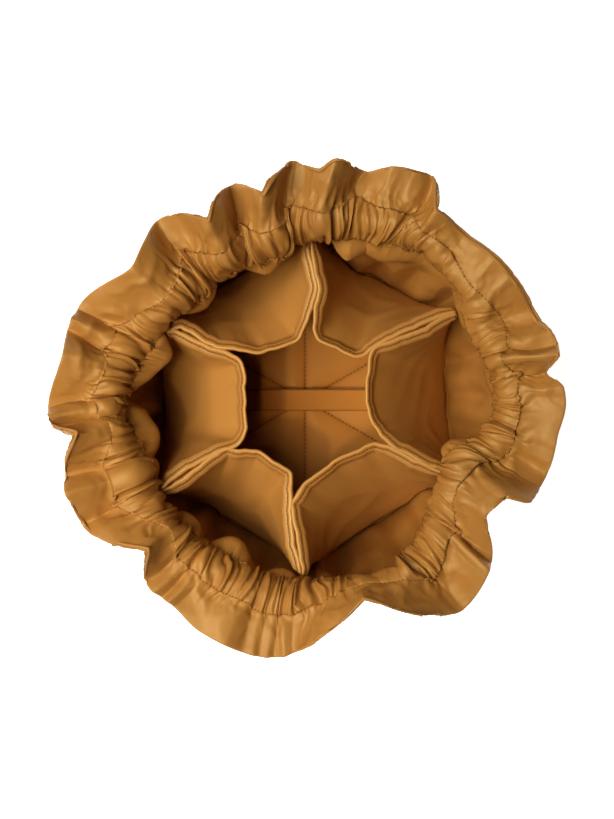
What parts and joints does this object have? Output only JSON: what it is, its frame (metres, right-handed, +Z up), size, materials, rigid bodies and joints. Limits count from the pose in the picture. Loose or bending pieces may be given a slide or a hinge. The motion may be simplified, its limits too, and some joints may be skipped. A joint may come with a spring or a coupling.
{
  "type": "drawstring jewelry pouch",
  "caption": "Round satin drawstring pouch standing open: gathered casing under a flared frill, and open pockets round a stitched base that keep jewels apart.",
  "frame": {"origin": "middle of the base's underside, where the pouch stands", "axes": "+Z up through the mouth; +X along the strap on the base"},
  "size_m": [0.2445, 0.2333, 0.1215],
  "materials": {
    "body_satin": "golden ochre satin nylon",
    "pocket_satin": "golden ochre satin nylon with turned hems",
    "base_satin": "golden ochre satin nylon, quilted",
    "strap_satin": "smooth ochre strip"
  },
  "bodies": {
    "root": {"base_disc": "base_satin", "base_strap": "strap_satin", "side_wall": "body_satin", "casing": "body_satin", "frill": "body_satin", "pocket_1": "pocket_satin", "pocket_2": "pocket_satin", "pocket_3": "pocket_satin", "pocket_4": "pocket_satin", "pocket_5": "pocket_satin", "pocket_6": "pocket_satin"}
  },
  "joints": []
}
